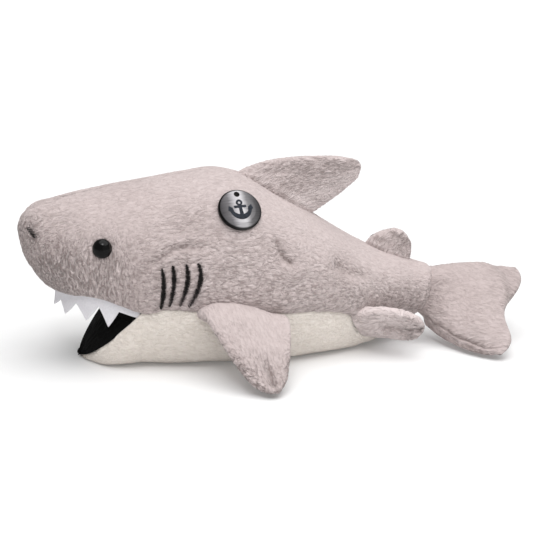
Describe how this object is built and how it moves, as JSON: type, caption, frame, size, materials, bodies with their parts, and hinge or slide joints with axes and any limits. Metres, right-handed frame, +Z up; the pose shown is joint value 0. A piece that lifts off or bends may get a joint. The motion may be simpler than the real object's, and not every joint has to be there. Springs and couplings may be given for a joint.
{
  "type": "plush shark",
  "caption": "Soft stuffed toy shark lying on its belly, mouth open with felt teeth, with soft fins that fold, a tail that swings and a round tag badge.",
  "frame": {"origin": "centre of the bounding box in plan, on the plane that the belly rests on", "axes": "+Z up, nose towards -X and tail towards +X, the shark's left side towards -Y"},
  "size_m": [0.2991, 0.1892, 0.1123],
  "materials": {
    "grey_plush": "short-pile plush",
    "white_plush": "short-pile plush",
    "black_lining": "brushed knit",
    "tooth_felt": "felt",
    "stuffing": "polyester fibre fill",
    "eye_plastic": "polished",
    "washer_plastic": "moulded",
    "thread": "satin stitch",
    "badge_face": "brushed",
    "badge_steel": "plated"
  },
  "bodies": {
    "torso": {"left_side_panel": "grey_plush", "right_side_panel": "grey_plush", "belly_panel": "white_plush", "head_filling": "stuffing", "body_filling": "stuffing", "palate_lining": "black_lining", "tooth_strip_left": "tooth_felt", "tooth_strip_right": "tooth_felt", "eye_left": "eye_plastic", "eye_right": "eye_plastic", "eye_washer_left": "washer_plastic", "eye_washer_right": "washer_plastic", "nostril_stitch_left": "thread", "nostril_stitch_right": "thread", "gill_stitches_left": "thread", "gill_stitches_right": "thread", "badge_thread": "thread"},
    "jaw": {"jaw_panel": "white_plush", "jaw_lining": "black_lining", "jaw_filling": "stuffing"},
    "pectoral_left": {"pectoral_left_top": "grey_plush", "pectoral_left_under": "grey_plush", "pectoral_left_filling": "stuffing"},
    "pectoral_right": {"pectoral_right_top": "grey_plush", "pectoral_right_under": "grey_plush", "pectoral_right_filling": "stuffing"},
    "pelvic_left": {"pelvic_left_outer": "grey_plush", "pelvic_left_inner": "grey_plush", "pelvic_left_filling": "stuffing"},
    "pelvic_right": {"pelvic_right_outer": "grey_plush", "pelvic_right_inner": "grey_plush", "pelvic_right_filling": "stuffing"},
    "dorsal_fin": {"dorsal_left_panel": "grey_plush", "dorsal_right_panel": "grey_plush", "dorsal_filling": "stuffing"},
    "rear_dorsal_fin": {"rear_dorsal_left_panel": "grey_plush", "rear_dorsal_right_panel": "grey_plush", "rear_dorsal_filling": "stuffing"},
    "tail_fin": {"tail_left_panel": "grey_plush", "tail_right_panel": "grey_plush", "tail_filling": "stuffing"},
    "badge": {"badge_shell": "badge_face", "badge_back": "badge_steel"}
  },
  "joints": [
    {"name": "jaw_fold", "type": "hinge", "parent": "torso", "child": "jaw", "pos_m": [-0.086, 0, 0.035], "axis": [0, 1, 0], "range_deg": [0, 20], "stiffness_Nm_per_rad": 0.06},
    {"name": "pectoral_left_flap", "type": "hinge", "parent": "torso", "child": "pectoral_left", "pos_m": [-0.03026, -0.0546, 0.03477], "axis": [-0.9951, -0.0199, 0.097], "range_deg": [-10, 50], "stiffness_Nm_per_rad": 0.04},
    {"name": "pectoral_right_flap", "type": "hinge", "parent": "torso", "child": "pectoral_right", "pos_m": [-0.03026, 0.0546, 0.03477], "axis": [0.9951, -0.0199, -0.097], "range_deg": [-10, 50], "stiffness_Nm_per_rad": 0.04},
    {"name": "pelvic_left_flap", "type": "hinge", "parent": "torso", "child": "pelvic_left", "pos_m": [0.05336, -0.03487, 0.01942], "axis": [-0.4862, -0.3762, 0.7887], "range_deg": [-10, 30], "stiffness_Nm_per_rad": 0.02},
    {"name": "pelvic_right_flap", "type": "hinge", "parent": "torso", "child": "pelvic_right", "pos_m": [0.05336, 0.03487, 0.01942], "axis": [0.4862, -0.3762, -0.7887], "range_deg": [-10, 30], "stiffness_Nm_per_rad": 0.02},
    {"name": "dorsal_fold", "type": "hinge", "parent": "torso", "child": "dorsal_fin", "pos_m": [0.00418, 0, 0.09455], "axis": [0.8395, 0, -0.5434], "range_deg": [-40, 40], "stiffness_Nm_per_rad": 0.05},
    {"name": "rear_dorsal_fold", "type": "hinge", "parent": "torso", "child": "rear_dorsal_fin", "pos_m": [0.06818, -0.00444, 0.05743], "axis": [0.8857, -0.1718, -0.4313], "range_deg": [-35, 35], "stiffness_Nm_per_rad": 0.02},
    {"name": "tail_swing", "type": "hinge", "parent": "torso", "child": "tail_fin", "pos_m": [0.0923, -0.01211, 0.02971], "axis": [0.3062, 0.2002, 0.9307], "range_deg": [-35, 35], "stiffness_Nm_per_rad": 0.05},
    {"name": "badge_swing", "type": "hinge", "parent": "torso", "child": "badge", "pos_m": [-0.02974, -0.02742, 0.09768], "axis": [0.1258, -0.7446, 0.6555], "range_deg": [-20, 20]}
  ]
}
